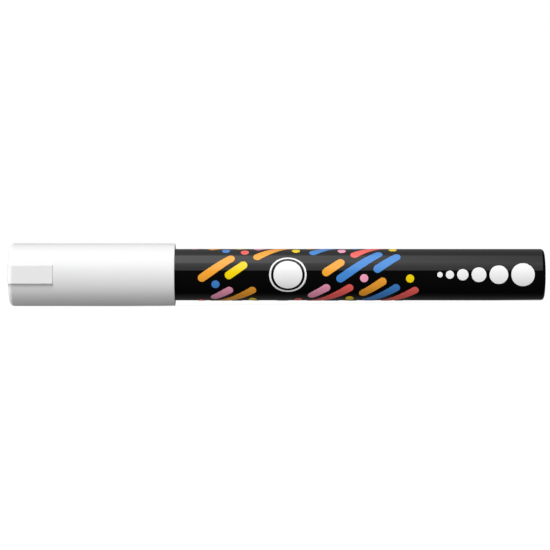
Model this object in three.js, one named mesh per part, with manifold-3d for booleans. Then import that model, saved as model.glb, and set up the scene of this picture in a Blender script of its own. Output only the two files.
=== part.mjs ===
// A capped acrylic paint marker with a pump valve, lying along X.
// The cap points to -X and the closed rear end of the barrel to +X. The anti-roll tab on the cap
// faces -Y. The origin is on the marker's axis, halfway along its capped length.
// Sizes are in millimetres.

import * as THREE from "three";
import { mergeVertices } from "three/addons/utils/BufferGeometryUtils.js";
import Module from "manifold-3d";

const wasm = await Module();
wasm.setup();

// Overall
const cappedLength = 138.0;

// Barrel: one moulded tube, closed at the rear
const barrelR = 6.65;
const barrelWall = 1.0;
const barrelEndWall = 1.6;
const barrelEndFillet = 0.9;
const barrelBottomFillet = 1.0;
const barrelMouthChamfer = 0.15;
const neckStep = 0.2; // the neck under the cap is this much smaller in radius
const neckReveal = 1.0; // full-size barrel that still lies inside the cap's mouth
const neckRidgeHeight = 0.15;

// Cap
const capLength = 42.7;
const capWall = 1.25;
const capEndWall = 1.3;
const capRunningGap = 0.2; // radial, between the barrel and the cap's bore
const capEndFillet = 1.0;
const capRimFillet = 0.3;
const capMouthChamfer = 0.3;
const capEngagement = 11.7; // how far the barrel reaches into the cap
const capBeadSetback = 3.2; // from the rim to the snap bead
const capBeadHeight = 0.19;
const snapWidth = 0.8; // of the cap's bead and of the ridge that it passes
const snapSpacing = 2.0; // from the bead to the barrel's ridge
const capRibCount = 8;
const capRibHeight = 0.65;
const capRibWidth = 0.9;
const capRibLeadIn = 1.0;

// Anti-roll tab on the cap
const tabLength = 11.5;
const tabWidth = 4.6; // of its flat face
const tabRise = 0.4; // of the flat face over the cap's surface
const tabDraftDegrees = 15;
const tabEndFillet = 0.66;
const tabRoot = 0.9; // how deep the tab is rooted in the cap's wall

// Moulding gate, a shallow dimple in the middle of each closed end
const gateR = 1.5;
const gateDepth = 0.3;
const gateBevel = 0.25;

// Front section: nose, seal land, collar and flange ahead of the barrel, and a plug inside it
const noseLength = 17.5; // from the barrel's front edge to the nose's tip
const noseTipR = 3.2;
const noseTipFillet = 0.4;
const noseMouthChamfer = 0.2;
const flangeLength = 2.0;
const flangeSeatGap = 0.05;
const collarLength = 2.0;
const collarStep = 0.55; // collar below flange, in radius
const collarChamfer = 0.3;
const sealLandR = 4.6;
const sealLandLength = 8.0;
const sealBeadHeight = 0.1;
const sealBeadWidth = 1.1;
const plugGap = 0.3; // radial, in the barrel's bore
const plugWall = 0.95;
const plugRibHeight = 0.18;
const plugRibWidth = 0.7;
const plugRibSpacing = 2.2;
const plugRibCount = 3;
const plugLeadIn = 1.4; // flared mouth of the valve pocket, behind its snap ridge
const pocketFlare = 0.45;
const pocketRidge = 0.35; // radial height of the ridge that holds the valve housing in
const pocketRidgeWidth = 0.6;
const pocketSetback = 2.5; // from the barrel's front edge back to the valve pocket's shoulder
const chamberLength = 4.5; // open chamber between the nib's guide ribs and the valve
const fluteCount = 6;
const fluteDepth = 0.75;
const fluteWidth = 1.2;
const fluteSetback = 2.5; // from the nose's tip to where the paint flutes begin

// Nib: a fibre rod, bulleted at both ends, that can be turned round when worn
const nibR = 2.0;
const nibProtrusion = 5.5;
const nibGap = 0.15; // radial, in the nose
const bulletLength = 2.6;
const bulletTipR = 1.1;

// Pump valve
const contactGap = 0.1; // between faces that touch on the real marker
const fitGap = 0.15; // radial, of pieces pressed into one another
const seatThickness = 1.2;
const seatHoleR = 1.9;
const seatBevel = 0.25;
const pinAnnulus = 0.7; // paint gap round the pin in the seat's hole
const pinLead = 1.3; // how far the pin stands out of the seat
const headGap = 0.3; // radial, of the valve head in the housing
const headThickness = 0.8;
const headCone = 0.8;
const spigotLength = 1.2;
const spigotGap = 0.45; // radial, between spigot and spring
const tailR = 0.8;
const tailReach = 1.5; // of the stem's tail out of the housing's rear face
const stemEdge = 0.25; // bevel on the stem's two ends
const pressStroke = 1.8; // how far nib and stem move when the nib is pressed
const housingFlange = 1.4;
const housingWall = 0.75;
const housingLength = 18.0;
const housingFloor = 1.2;
const guideGap = 0.25; // radial, of the tail in the housing's floor
const windowCount = 4;
const windowWidth = 2.4;
const windowLength = 8.0;
const windowSetback = 1.0; // behind the front section's rear edge

// Valve spring
const wireR = 0.25;
const springGap = 0.4; // radial, of the coil in the housing
const springTurns = 9;
const springEndTurns = 1; // closed turns at each end
const springClosePitch = 1.0;

// Inner cap, the soft thimble that seals the nose
const innerCapWall = 0.8;
const innerCapFloor = 0.95;
const innerCapSeat = 0.25; // from its end to the cap's end wall
const innerCapMouthGap = 1.0; // ahead of the collar
const innerCapFlange = 1.4;
const innerCapLip = 1.5;
const innerCapLeadIn = 0.4;
const innerCapTaper = 4.5;
const innerCapTaperLead = 1.5; // where the taper begins, behind the nose's tip
const innerCapNibGap = 1.6; // radial, round the nib

// Mixing balls
const ballR = 3.0;
const ballCount = 2;
const ballGap = 0.3;

// Facets. The marker lies on one flat of the cap's rim and one of the barrel's end. With 24 sides
// these are 2.1 and 1.75 mm wide, which holds it still, where narrower ones let it roll.
const bigSides = 24;
const midSides = 36;
const smallSides = 24;
const filletSteps = 2; // half the number of chords in a quarter round

// Places along the marker's axis
const capEndX = -cappedLength / 2;
const rearX = cappedLength / 2;
const rimX = capEndX + capLength;
const barrelFrontX = rimX - capEngagement;
const neckEndX = rimX - neckReveal;
const beadX = rimX - capBeadSetback;
const ridgeX = beadX - snapSpacing;
const barrelFloorX = rearX - barrelEndWall;
const noseTipX = barrelFrontX - noseLength;
const flangeFrontX = barrelFrontX - flangeLength;
const collarFrontX = flangeFrontX - collarLength;
const landFrontX = collarFrontX - sealLandLength;
const nibTipX = noseTipX - nibProtrusion;
const pocketX = barrelFrontX + pocketSetback;
const chamberX = pocketX - chamberLength;
const seatFrontX = pocketX + contactGap;
const seatRearX = seatFrontX + seatThickness;
const housingFrontX = seatRearX + contactGap;
const housingRearX = housingFrontX + housingLength;
const housingFloorX = housingRearX - housingFloor;
const pocketRidgeX = housingFrontX + housingFlange + contactGap;
const plugRearX = pocketRidgeX + pocketRidgeWidth + plugLeadIn;
const pinFrontX = seatFrontX - pinLead;
const nibRearX = pinFrontX - contactGap;
const tailEndX = housingRearX + tailReach;
const capFloorX = capEndX + capEndWall;
const innerCapEndX = capFloorX + innerCapSeat;
const innerCapFloorX = innerCapEndX + innerCapFloor;
const innerCapMouthX = collarFrontX - innerCapMouthGap;
const capRibFrontX = innerCapMouthX + innerCapMouthGap;

// Radii
const barrelBoreR = barrelR - barrelWall;
const neckR = barrelR - neckStep;
const ridgeR = neckR + neckRidgeHeight;
const capBoreR = barrelR + capRunningGap;
const capR = capBoreR + capWall;
const capBeadR = capBoreR - capBeadHeight;
const capRibTipR = capBoreR - capRibHeight;
const plugR = barrelBoreR - plugGap;
const pocketR = plugR - plugWall;
const nibBoreR = nibR + nibGap;
const chamberR = nibBoreR + fluteDepth;
const seatR = pocketR - fitGap;
const pinR = seatHoleR - pinAnnulus;
const housingR = pocketR - pocketRidge - contactGap;
const housingBoreR = housingR - housingWall;
const headR = housingBoreR - headGap;
const coilR = housingBoreR - springGap - wireR;
const spigotR = coilR - wireR - spigotGap;
const guideR = tailR + guideGap;
const innerCapBoreR = sealLandR + fitGap;
const innerCapR = innerCapBoreR + innerCapWall;
const innerCapFlangeR = capRibTipR - fitGap;
const innerCapTipBoreR = nibR + innerCapNibGap;

// A Path drawn as (distance along the axis, radius), outer surface first towards +X, is turned
// round the X axis into a closed solid. Its flats lie at the drawn radius, with one straight down,
// so a turned piece measures its true size across flats and lies still on a table.
function turned(path, sides) {
  const halfSide = Math.PI / sides;
  const toCorner = 1 / Math.cos(halfSide);
  const profile = path.getPoints(filletSteps).map((p) => new THREE.Vector2(p.y * toCorner, p.x));
  const geometry = new THREE.LatheGeometry(profile, sides);
  geometry.rotateZ(-Math.PI / 2);
  geometry.rotateX(halfSide);
  return closed(geometry);
}

// Shared corners are merged, and the flat triangles that a lathe leaves on its axis are dropped.
function closed(geometry) {
  geometry.deleteAttribute("normal");
  geometry.deleteAttribute("uv");
  const merged = mergeVertices(geometry, 1e-5);
  const index = merged.getIndex().array;
  const kept = [];
  for (let i = 0; i < index.length; i += 3) {
    const [a, b, c] = [index[i], index[i + 1], index[i + 2]];
    if (a !== b && b !== c && c !== a) {
      kept.push(a, b, c);
    }
  }
  merged.setIndex(kept);
  return merged;
}

function toManifold(geometry) {
  const vertProperties = new Float32Array(geometry.getAttribute("position").array);
  const triVerts = new Uint32Array(geometry.getIndex().array);
  return new wasm.Manifold(new wasm.Mesh({ numProp: 3, vertProperties, triVerts }));
}

function toGeometry(manifold) {
  const mesh = manifold.getMesh();
  const geometry = new THREE.BufferGeometry();
  geometry.setAttribute("position", new THREE.BufferAttribute(mesh.vertProperties, 3));
  geometry.setIndex(new THREE.BufferAttribute(mesh.triVerts, 1));
  return geometry;
}

function joined(base, tools) {
  const result = tools.reduce((sum, tool) => sum.add(toManifold(tool)), toManifold(base));
  return toGeometry(result);
}

function cut(base, tools) {
  const result = tools.reduce((rest, tool) => rest.subtract(toManifold(tool)), toManifold(base));
  return toGeometry(result);
}

// The same tool, repeated at equal angles round the X axis
function roundAxis(geometry, count, startAngle = 0) {
  const copies = [];
  for (let i = 0; i < count; i++) {
    const copy = geometry.clone();
    copy.rotateX(startAngle + (i * 2 * Math.PI) / count);
    copies.push(copy);
  }
  return copies;
}

// A Path of (x, radius) extruded to a width across the radius, standing up along +Z
function radialPlate(shape, width) {
  const geometry = new THREE.ExtrudeGeometry(shape, { depth: width, bevelEnabled: false });
  geometry.translate(0, 0, -width / 2);
  geometry.rotateX(Math.PI / 2);
  return closed(geometry);
}

function polygon(points) {
  return new THREE.Shape(points.map(([x, y]) => new THREE.Vector2(x, y)));
}

// Cap: a thin-walled cup with a rounded closed end, a snap bead near its mouth, ribs that grip the
// inner cap, and the anti-roll tab
function capShell() {
  const path = new THREE.Path();
  path.moveTo(capEndX + gateDepth, 0);
  path.lineTo(capEndX + gateDepth, gateR - gateBevel);
  path.lineTo(capEndX, gateR);
  path.lineTo(capEndX, capR - capEndFillet);
  path.absarc(capEndX + capEndFillet, capR - capEndFillet, capEndFillet, Math.PI, Math.PI / 2, true);
  path.lineTo(rimX - capRimFillet, capR);
  path.absarc(rimX - capRimFillet, capR - capRimFillet, capRimFillet, Math.PI / 2, 0, true);
  path.lineTo(rimX, capBoreR + capMouthChamfer);
  path.lineTo(rimX - capMouthChamfer, capBoreR);
  path.lineTo(beadX + snapWidth / 2, capBoreR);
  path.lineTo(beadX + snapWidth / 4, capBeadR);
  path.lineTo(beadX - snapWidth / 4, capBeadR);
  path.lineTo(beadX - snapWidth / 2, capBoreR);
  path.lineTo(capFloorX + capEndFillet, capBoreR);
  path.lineTo(capFloorX, capBoreR - capEndFillet);
  path.lineTo(capFloorX, 0);
  const ribs = roundAxis(capRib(), capRibCount, Math.PI / capRibCount);
  return joined(turned(path, bigSides), [...ribs, antiRollTab()]);
}

function capRib() {
  const rootR = capBoreR + capWall / 2;
  const rootX = capEndX + capEndWall / 2;
  const outline = polygon([
    [rootX, capRibTipR],
    [capRibFrontX - capRibLeadIn, capRibTipR],
    [capRibFrontX, rootR],
    [rootX, rootR],
  ]);
  return radialPlate(outline, capRibWidth);
}

// The tab is where two extrusions meet: its side view, and its drafted end view.
function antiRollTab() {
  const draft = Math.tan(THREE.MathUtils.degToRad(tabDraftDegrees));
  const rootR = capR - tabRoot;
  const topR = capR + tabRise;
  const height = topR - rootR;
  const tabEndX = capEndX + tabLength;
  const side = new THREE.Shape();
  side.moveTo(capEndX, rootR);
  side.lineTo(tabEndX + draft * height, rootR);
  side.lineTo(tabEndX, topR);
  side.lineTo(capEndX + tabEndFillet, topR);
  side.absarc(capEndX + tabEndFillet, topR - tabEndFillet, tabEndFillet, Math.PI / 2, Math.PI, false);
  side.closePath();
  const sideSolid = extruded(side, tabWidth + 4 * height);
  sideSolid.translate(0, 0, -(tabWidth + 4 * height) / 2);
  const halfTop = tabWidth / 2;
  const halfRoot = halfTop + draft * height;
  const end = polygon([
    [-halfRoot, rootR],
    [halfRoot, rootR],
    [halfTop, topR],
    [-halfTop, topR],
  ]);
  const endSolid = extruded(end, tabLength + 2 * height);
  endSolid.rotateY(Math.PI / 2);
  endSolid.translate(capEndX, 0, 0);
  const tab = toGeometry(toManifold(sideSolid).intersect(toManifold(endSolid)));
  tab.rotateX(Math.PI);
  return tab;
}

function extruded(shape, depth) {
  const settings = { depth, bevelEnabled: false, curveSegments: 2 * filletSteps };
  return closed(new THREE.ExtrudeGeometry(shape, settings));
}

// Inner cap: a soft thimble with a sealing mouth and two centring flanges
function innerCap() {
  const mouthFlangeX = innerCapMouthX - innerCapLip;
  const taperStartX = noseTipX + innerCapTaperLead;
  const taperEndX = taperStartX - innerCapTaper;
  const path = new THREE.Path();
  path.moveTo(innerCapEndX, 0);
  path.lineTo(innerCapEndX, innerCapFlangeR);
  path.lineTo(innerCapEndX + innerCapFloor, innerCapFlangeR);
  path.lineTo(innerCapEndX + innerCapFloor, innerCapTipBoreR + innerCapWall);
  path.lineTo(taperEndX, innerCapTipBoreR + innerCapWall);
  path.lineTo(taperStartX, innerCapR);
  path.lineTo(mouthFlangeX - innerCapFlange, innerCapR);
  path.lineTo(mouthFlangeX - innerCapFlange, innerCapFlangeR);
  path.lineTo(mouthFlangeX, innerCapFlangeR);
  path.lineTo(mouthFlangeX, innerCapR);
  path.lineTo(innerCapMouthX, innerCapR);
  path.lineTo(innerCapMouthX, innerCapBoreR + innerCapLeadIn);
  path.lineTo(innerCapMouthX - innerCapLeadIn, innerCapBoreR);
  path.lineTo(taperStartX, innerCapBoreR);
  path.lineTo(taperEndX, innerCapTipBoreR);
  path.lineTo(innerCapFloorX, innerCapTipBoreR);
  path.lineTo(innerCapFloorX, 0);
  return turned(path, midSides);
}

// Barrel: a long cup, with a stepped neck under the cap and a ring groove inside its mouth, where
// the front section's rearmost rib snaps in
function barrelTube() {
  const grooveX = plugRibX(plugRibCount - 1);
  const grooveR = barrelBoreR + plugGap / 2;
  const path = new THREE.Path();
  path.moveTo(barrelFloorX, 0);
  path.lineTo(barrelFloorX, barrelBoreR - barrelBottomFillet);
  path.absarc(
    barrelFloorX - barrelBottomFillet,
    barrelBoreR - barrelBottomFillet,
    barrelBottomFillet,
    0,
    Math.PI / 2,
    false,
  );
  path.lineTo(grooveX + plugRibWidth, barrelBoreR);
  path.lineTo(grooveX + plugRibWidth / 2, grooveR);
  path.lineTo(grooveX - plugRibWidth / 2, grooveR);
  path.lineTo(grooveX - plugRibWidth, barrelBoreR);
  path.lineTo(barrelFrontX + barrelMouthChamfer, barrelBoreR);
  path.lineTo(barrelFrontX, barrelBoreR + barrelMouthChamfer);
  path.lineTo(barrelFrontX, neckR - barrelMouthChamfer);
  path.lineTo(barrelFrontX + barrelMouthChamfer, neckR);
  path.lineTo(ridgeX - snapWidth / 2, neckR);
  path.lineTo(ridgeX - snapWidth / 4, ridgeR);
  path.lineTo(ridgeX + snapWidth / 4, ridgeR);
  path.lineTo(ridgeX + snapWidth / 2, neckR);
  path.lineTo(neckEndX - neckStep, neckR);
  path.lineTo(neckEndX, barrelR);
  path.lineTo(rearX - barrelEndFillet, barrelR);
  path.absarc(rearX - barrelEndFillet, barrelR - barrelEndFillet, barrelEndFillet, Math.PI / 2, 0, true);
  path.lineTo(rearX, gateR);
  path.lineTo(rearX - gateDepth, gateR - gateBevel);
  path.lineTo(rearX - gateDepth, 0);
  return turned(path, bigSides);
}

// Middle of a sealing rib on the plug, counted from its front
function plugRibX(i) {
  return plugRearX - (plugRibCount - i) * plugRibSpacing + plugRibSpacing / 2;
}

// Front section: nose, seal land, collar, flange and plug in one moulding, with a fluted bore for
// the nib, a paint chamber, and the pocket that the valve snaps into from behind
function frontSection() {
  const flangeRearX = barrelFrontX - flangeSeatGap;
  const sealBeadX = (landFrontX + collarFrontX) / 2;
  const collarR = neckR - collarStep;
  const path = new THREE.Path();
  path.moveTo(noseTipX + noseMouthChamfer, nibBoreR);
  path.lineTo(noseTipX, nibBoreR + noseMouthChamfer);
  path.lineTo(noseTipX, noseTipR - noseTipFillet);
  path.absarc(noseTipX + noseTipFillet, noseTipR - noseTipFillet, noseTipFillet, Math.PI, Math.PI / 2, true);
  path.lineTo(landFrontX, sealLandR);
  path.lineTo(sealBeadX - sealBeadWidth / 2, sealLandR);
  path.lineTo(sealBeadX - sealBeadWidth / 4, sealLandR + sealBeadHeight);
  path.lineTo(sealBeadX + sealBeadWidth / 4, sealLandR + sealBeadHeight);
  path.lineTo(sealBeadX + sealBeadWidth / 2, sealLandR);
  path.lineTo(collarFrontX, sealLandR);
  path.lineTo(collarFrontX, collarR - collarChamfer);
  path.lineTo(collarFrontX + collarChamfer, collarR);
  path.lineTo(flangeFrontX, collarR);
  path.lineTo(flangeFrontX, neckR - collarChamfer);
  path.lineTo(flangeFrontX + collarChamfer, neckR);
  path.lineTo(flangeRearX, neckR);
  path.lineTo(flangeRearX, plugR);
  for (let i = 0; i < plugRibCount; i++) {
    const ribX = plugRibX(i);
    path.lineTo(ribX - plugRibWidth / 2, plugR);
    path.lineTo(ribX - plugRibWidth / 4, plugR + plugRibHeight);
    path.lineTo(ribX + plugRibWidth / 4, plugR + plugRibHeight);
    path.lineTo(ribX + plugRibWidth / 2, plugR);
  }
  path.lineTo(plugRearX, plugR);
  path.lineTo(plugRearX, pocketR + pocketFlare);
  path.lineTo(pocketRidgeX + pocketRidgeWidth, pocketR - pocketRidge);
  path.lineTo(pocketRidgeX, pocketR - pocketRidge);
  path.lineTo(pocketRidgeX, pocketR);
  path.lineTo(pocketX, pocketR);
  path.lineTo(pocketX, chamberR);
  path.lineTo(chamberX, chamberR);
  path.lineTo(chamberX, nibBoreR);
  path.closePath();
  const flutes = roundAxis(flute(), fluteCount);
  return cut(turned(path, midSides), flutes);
}

function flute() {
  const outline = polygon([
    [noseTipX + fluteSetback, nibR / 2],
    [chamberX + chamberLength / 2, nibR / 2],
    [chamberX + chamberLength / 2, chamberR],
    [noseTipX + fluteSetback, chamberR],
  ]);
  return radialPlate(outline, fluteWidth);
}

// Nib: a fibre rod, bulleted at both ends
function nib() {
  const path = new THREE.Path();
  path.moveTo(nibTipX, 0);
  path.quadraticCurveTo(nibTipX, bulletTipR, nibTipX + bulletTipR / 2, bulletTipR);
  path.lineTo(nibTipX + bulletLength, nibR);
  path.lineTo(nibRearX - bulletLength, nibR);
  path.lineTo(nibRearX - bulletTipR / 2, bulletTipR);
  path.quadraticCurveTo(nibRearX, bulletTipR, nibRearX, 0);
  return turned(path, smallSides);
}

// Valve seat: an elastomer ring on the pocket's shoulder
function valveSeat() {
  const path = new THREE.Path();
  path.moveTo(seatFrontX, seatHoleR);
  path.lineTo(seatFrontX, seatR);
  path.lineTo(seatRearX, seatR);
  path.lineTo(seatRearX, seatHoleR + seatBevel);
  path.lineTo(seatRearX - seatBevel, seatHoleR);
  path.closePath();
  return turned(path, midSides);
}

// Valve stem: a pin that the nib pushes, a coned head behind the seat, a spigot that centres the
// spring, and a tail guided in the housing's floor
function headConeX() {
  return seatRearX + contactGap - (headCone * (seatHoleR + seatBevel - pinR)) / (headR - pinR);
}

function valveStem() {
  const coneX = headConeX();
  const headX = coneX + headCone;
  const headRearX = headX + headThickness;
  const path = new THREE.Path();
  path.moveTo(pinFrontX, 0);
  path.lineTo(pinFrontX, pinR - stemEdge);
  path.lineTo(pinFrontX + stemEdge, pinR);
  path.lineTo(coneX, pinR);
  path.lineTo(headX, headR);
  path.lineTo(headRearX, headR);
  path.lineTo(headRearX, spigotR);
  path.lineTo(headRearX + spigotLength, spigotR);
  path.lineTo(headRearX + spigotLength, tailR);
  path.lineTo(tailEndX - stemEdge, tailR);
  path.lineTo(tailEndX, tailR - stemEdge);
  path.lineTo(tailEndX, 0);
  return turned(path, smallSides);
}

// Valve housing: a caged cup with a flange at the front, flow windows in its wall, and a floor
// that holds the spring and guides the stem's tail
function valveHousing() {
  const path = new THREE.Path();
  path.moveTo(housingFrontX, housingBoreR);
  path.lineTo(housingFrontX, seatR);
  path.lineTo(housingFrontX + housingFlange, seatR);
  path.lineTo(housingFrontX + housingFlange, housingR);
  path.lineTo(housingRearX - housingWall, housingR);
  path.lineTo(housingRearX, housingR - housingWall);
  path.lineTo(housingRearX, guideR);
  path.lineTo(housingFloorX, guideR);
  path.lineTo(housingFloorX, housingBoreR);
  path.closePath();
  const windows = roundAxis(flowWindow(), windowCount, Math.PI / windowCount);
  return cut(turned(path, midSides), windows);
}

// A window with half-round ends, as a plug that reaches out through the housing's wall
function flowWindow() {
  const endR = windowWidth / 2;
  const frontX = plugRearX + windowSetback + endR;
  const rearEndX = frontX + windowLength - windowWidth;
  const slot = new THREE.Shape();
  slot.absarc(frontX, 0, endR, Math.PI / 2, (3 * Math.PI) / 2, false);
  slot.absarc(rearEndX, 0, endR, -Math.PI / 2, Math.PI / 2, false);
  slot.closePath();
  const geometry = extruded(slot, housingR);
  geometry.translate(0, 0, housingBoreR / 2);
  return geometry;
}

// Valve spring: one unbroken wire along a helix whose pitch is close at both ends and open between
function valveSpring() {
  const startX = headConeX() + headCone + headThickness + contactGap + wireR;
  const endX = housingFloorX - contactGap - wireR;
  const openTurns = springTurns - 2 * springEndTurns;
  const openPitch = (endX - startX - 2 * springEndTurns * springClosePitch) / openTurns;
  const stepsPerTurn = 8;
  const wireSides = 5;
  const steps = springTurns * stepsPerTurn;
  const positions = [];
  for (let i = 0; i <= steps; i++) {
    const turn = i / stepsPerTurn;
    const closeStart = Math.min(turn, springEndTurns);
    const closeEnd = Math.max(turn - (springTurns - springEndTurns), 0);
    const open = turn - closeStart - closeEnd;
    const x = startX + (closeStart + closeEnd) * springClosePitch + open * openPitch;
    const angle = turn * 2 * Math.PI;
    for (let k = 0; k < wireSides; k++) {
      const around = (k * 2 * Math.PI) / wireSides;
      const r = coilR + wireR * Math.cos(around);
      positions.push(x + wireR * Math.sin(around), r * Math.cos(angle), r * Math.sin(angle));
    }
  }
  const index = [];
  for (let i = 0; i < steps; i++) {
    for (let k = 0; k < wireSides; k++) {
      const a = i * wireSides + k;
      const b = i * wireSides + ((k + 1) % wireSides);
      index.push(a, a + wireSides, b, b, a + wireSides, b + wireSides);
    }
  }
  for (let k = 1; k < wireSides - 1; k++) {
    const last = steps * wireSides;
    index.push(0, k, k + 1);
    index.push(last, last + k + 1, last + k);
  }
  const geometry = new THREE.BufferGeometry();
  geometry.setAttribute("position", new THREE.Float32BufferAttribute(positions, 3));
  geometry.setIndex(index);
  console.log(`valve spring: least gap between turns ${(springClosePitch - 2 * wireR).toFixed(2)} mm`);
  return geometry;
}

// Mixing balls lie on the bottom of the bore, at the rear of the paint reservoir.
function ballPlace(i) {
  const fromFloor = ballGap + ballR + (ballCount - 1 - i) * (2 * ballR + ballGap);
  return new THREE.Vector3(barrelFloorX - fromFloor, 0, -(barrelBoreR - ballR - ballGap));
}

function mixingBall() {
  return closed(new THREE.SphereGeometry(ballR, smallSides, smallSides / 2));
}

function plastic(color, roughness) {
  return new THREE.MeshStandardMaterial({ color, roughness, metalness: 0 });
}

const whiteCap = plastic(0xf4f4f4, 0.3);
const softWhite = plastic(0xe9e8e2, 0.55);
const blackGloss = plastic(0x0b0b0c, 0.15);
const blackSatin = plastic(0x141415, 0.4);
const fibre = plastic(0xf1efe8, 0.9);
const elastomer = plastic(0x6c6e70, 0.7);
const naturalResin = plastic(0xdedcd2, 0.45);
const steel = new THREE.MeshStandardMaterial({ color: 0xb9bcc0, roughness: 0.25, metalness: 1 });

const marker = new THREE.Group();

function addPiece(name, geometry, material, place = new THREE.Vector3()) {
  const mesh = new THREE.Mesh(geometry, material);
  mesh.name = name;
  mesh.position.copy(place);
  marker.add(mesh);
}

addPiece("cap_shell", capShell(), whiteCap);
addPiece("inner_cap", innerCap(), softWhite);
addPiece("barrel_tube", barrelTube(), blackGloss);
addPiece("front_section", frontSection(), blackSatin);
addPiece("nib", nib(), fibre);
addPiece("valve_seat", valveSeat(), elastomer);
addPiece("valve_stem", valveStem(), naturalResin);
addPiece("valve_housing", valveHousing(), naturalResin);
addPiece("valve_spring", valveSpring(), steel);
for (let i = 0; i < ballCount; i++) {
  addPiece(`mixing_ball_${i + 1}`, mixingBall(), steel, ballPlace(i));
}

export default marker;
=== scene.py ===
from math import atan2, cos, hypot, pi, radians, sin, tan

import bmesh
import bpy
from mathutils import Matrix, Vector


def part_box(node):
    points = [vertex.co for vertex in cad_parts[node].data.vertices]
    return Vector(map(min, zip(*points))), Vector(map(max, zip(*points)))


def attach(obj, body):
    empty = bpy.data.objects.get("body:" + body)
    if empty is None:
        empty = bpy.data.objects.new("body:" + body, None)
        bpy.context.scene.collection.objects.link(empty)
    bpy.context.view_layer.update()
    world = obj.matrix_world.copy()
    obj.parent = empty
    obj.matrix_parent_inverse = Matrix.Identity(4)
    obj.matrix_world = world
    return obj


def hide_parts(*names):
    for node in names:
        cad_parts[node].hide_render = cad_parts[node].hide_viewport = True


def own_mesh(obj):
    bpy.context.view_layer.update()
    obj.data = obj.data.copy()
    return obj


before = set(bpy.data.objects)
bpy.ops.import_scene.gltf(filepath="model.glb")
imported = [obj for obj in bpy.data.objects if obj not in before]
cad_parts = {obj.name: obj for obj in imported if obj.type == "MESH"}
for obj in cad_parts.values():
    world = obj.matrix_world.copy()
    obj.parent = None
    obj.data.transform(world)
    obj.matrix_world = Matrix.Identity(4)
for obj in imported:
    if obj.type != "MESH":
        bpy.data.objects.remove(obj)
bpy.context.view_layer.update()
scene = bpy.context.scene

# Barrel.
# The paint reservoir: one tube moulded in black polypropylene, closed and flat at the rear, with a
# glossy lacquered outside. Its neck steps in under the cap, and the cap snaps over a ridge on it.
MM = 0.001
barrel_low, barrel_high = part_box("barrel_tube")
barrel_front = barrel_low.x
barrel_rear = barrel_high.x
barrel_radius = barrel_high.z
barrel_wall = 1.0 * MM
barrel_floor_thickness = 1.6 * MM
barrel_bore = barrel_radius - barrel_wall
barrel_floor = barrel_rear - barrel_floor_thickness
barrel_floor_round = 1.0 * MM
barrel_corner = 0.9 * MM
cap_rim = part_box("cap_shell")[1].x
neck_step = 0.2 * MM
neck_radius = barrel_radius - neck_step
neck_cover = 1.0 * MM
neck_end = cap_rim - neck_cover
snap_half = 0.4 * MM
ridge_setback = 5.2 * MM
ridge_height = 0.15 * MM
ridge_x = cap_rim - ridge_setback
ridge_radius = neck_radius + ridge_height
groove_setback = 1.1 * MM
groove_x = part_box("front_section")[1].x - groove_setback
groove_half = 0.7 * MM
groove_depth = 0.15 * MM
gate_radius = 1.5 * MM
gate_depth = 0.3 * MM
gate_bevel = 0.25 * MM
broken_edge = 0.08 * MM
small_round = 0.3 * MM
sharp_angle = radians(40)
touching = 1e-6


def turned(profile, rounds=(), steps=144, closed=False):
    """Points of (distance along the axis, radius) turned round it, with some rings rounded."""
    bm = bmesh.new()
    verts = [bm.verts.new((x, 0, r)) for x, r in profile]
    following = verts[1:] + verts[:1] if closed else verts[1:]
    edges = [bm.edges.new(pair) for pair in zip(verts, following)]
    bmesh.ops.spin(
        bm,
        geom=verts + edges,
        cent=(0, 0, 0),
        axis=(1, 0, 0),
        angle=2 * pi,
        steps=steps,
        use_merge=True,
    )
    bmesh.ops.remove_doubles(bm, verts=bm.verts, dist=1e-7)
    for x, r, radius in rounds:
        ring = [edge for edge in bm.edges if all(on_ring(v, x, r) for v in edge.verts)]
        bmesh.ops.bevel(
            bm,
            geom=ring,
            offset=radius,
            offset_type="OFFSET",
            segments=6 if radius > small_round else 3,
            profile=0.5,
            affect="EDGES",
            material=-1,
        )
    bmesh.ops.recalc_face_normals(bm, faces=bm.faces)
    return bm


def on_ring(vert, x, r):
    off_axis = hypot(vert.co.y, vert.co.z)
    return abs(vert.co.x - x) < touching and abs(off_axis - r) < 2 * touching


def finished(name, bm, material):
    """A mesh object at the origin, shaded smooth between its sharp edges."""
    mesh = bpy.data.meshes.new(name)
    bm.to_mesh(mesh)
    bm.free()
    mesh.materials.append(material)
    mesh.shade_smooth()
    mesh.set_sharp_from_angle(angle=sharp_angle)
    piece = bpy.data.objects.new(name, mesh)
    scene.collection.objects.link(piece)
    weighted = piece.modifiers.new("even_shading", "WEIGHTED_NORMAL")
    weighted.keep_sharp = True
    return piece


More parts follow.
